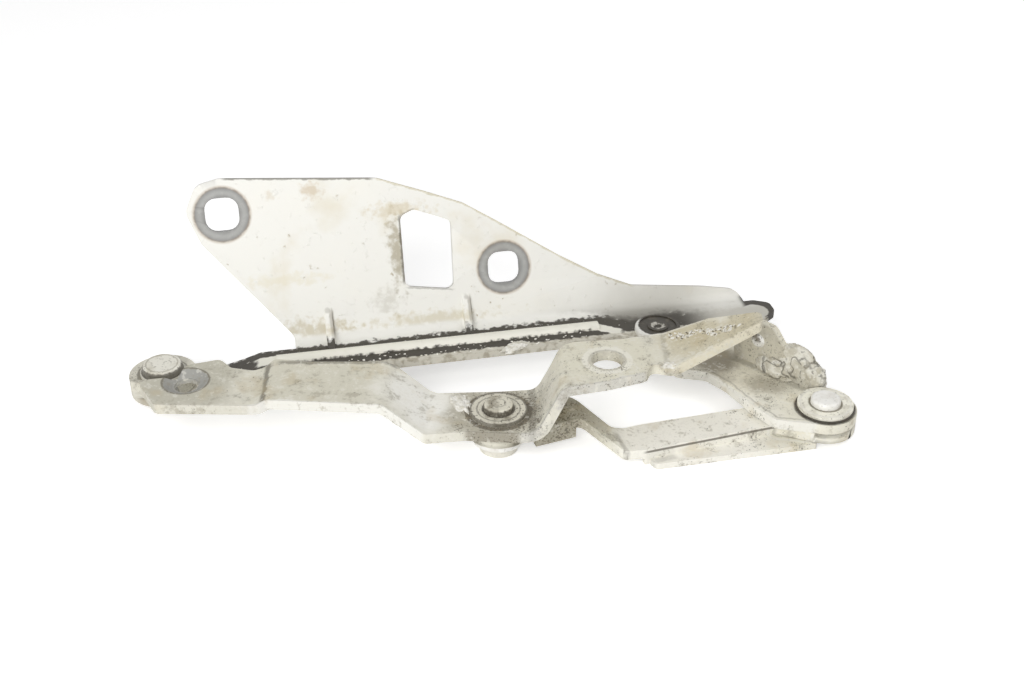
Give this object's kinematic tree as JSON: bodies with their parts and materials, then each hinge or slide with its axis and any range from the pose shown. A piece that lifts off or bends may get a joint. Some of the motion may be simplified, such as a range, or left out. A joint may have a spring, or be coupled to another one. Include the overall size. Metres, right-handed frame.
{
  "type": "bonnet hinge",
  "caption": "Vehicle bonnet hinge: pressed body bracket, leaning bonnet bracket on a riveted main pivot, and a folding two-link stay.",
  "frame": {"origin": "centre of the box on the surface that the hinge lies on", "axes": "+Z along the pivot axes, +X along the hinge from the main pivot to the knee, +Y from the body side to the bonnet side"},
  "size_m": [0.279, 0.1056, 0.0786],
  "materials": {
    "body_plate": "worn grey primer, dirty",
    "bonnet_paint": "worn white paint",
    "stay_plate": "worn grey primer, dirty",
    "rivet_steel": "dull zinc",
    "washer_steel": "dull zinc",
    "bush_bronze": "plain",
    "seal_rubber": "matt",
    "black_rivet": "black paint"
  },
  "bodies": {
    "body_side": {"body_bracket": "body_plate", "main_rivet": "rivet_steel", "main_washer": "washer_steel", "main_spacer": "washer_steel", "main_tail": "washer_steel", "foot_rivet": "rivet_steel", "foot_washer": "washer_steel", "foot_spacer": "washer_steel", "foot_collar": "washer_steel"},
    "bonnet_side": {"bonnet_bracket": "bonnet_paint", "main_bush": "bush_bronze", "top_rivet": "black_rivet", "top_washer": "washer_steel"},
    "lower_link": {"lower_stay": "stay_plate", "foot_bush": "bush_bronze", "knee_rivet": "rivet_steel", "knee_washer": "washer_steel", "knee_seal": "seal_rubber", "knee_spacer": "washer_steel"},
    "upper_link": {"upper_stay": "stay_plate", "knee_bush": "bush_bronze", "wall_rivet": "rivet_steel"}
  },
  "joints": [
    {"name": "opening", "type": "hinge", "parent": "body_side", "child": "bonnet_side", "pos_m": [-0.1265, -0.00588, 0.0064], "axis": [0, 0, 1], "range_deg": [0, 36]},
    {"name": "stay_foot", "type": "hinge", "parent": "body_side", "child": "lower_link", "pos_m": [0.0045, -0.03788, 0.01], "axis": [0, 0, 1], "range_deg": [0, 57]},
    {"name": "stay_knee", "type": "hinge", "parent": "lower_link", "child": "upper_link", "pos_m": [0.1275, -0.02788, 0.0091], "axis": [0, 0, 1], "range_deg": [-66, 0]}
  ],
  "couplings": [
    {"joint": "stay_foot", "follows": "opening", "ratio": 1.563},
    {"joint": "stay_knee", "follows": "opening", "ratio": -1.796}
  ]
}
